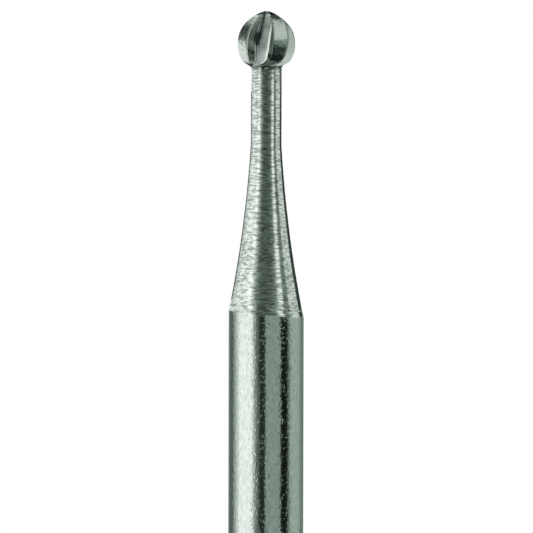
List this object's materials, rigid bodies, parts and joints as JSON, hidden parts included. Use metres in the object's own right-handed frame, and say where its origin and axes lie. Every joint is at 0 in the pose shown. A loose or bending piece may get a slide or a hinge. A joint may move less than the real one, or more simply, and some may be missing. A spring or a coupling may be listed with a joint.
{
  "type": "dental bur",
  "caption": "Round-headed rotary bur: ball head with helical cutting blades, slim neck, hollow taper and plain cylindrical shank.",
  "frame": {"origin": "centre of the shank's free end face", "axes": "+Z along the tool's axis, from the shank end to the cutting tip"},
  "size_m": [0.0024, 0.0024, 0.0445],
  "materials": {
    "tool_steel": "turned and ground, satin"
  },
  "bodies": {
    "root": {"round_bur": "tool_steel"}
  },
  "joints": []
}
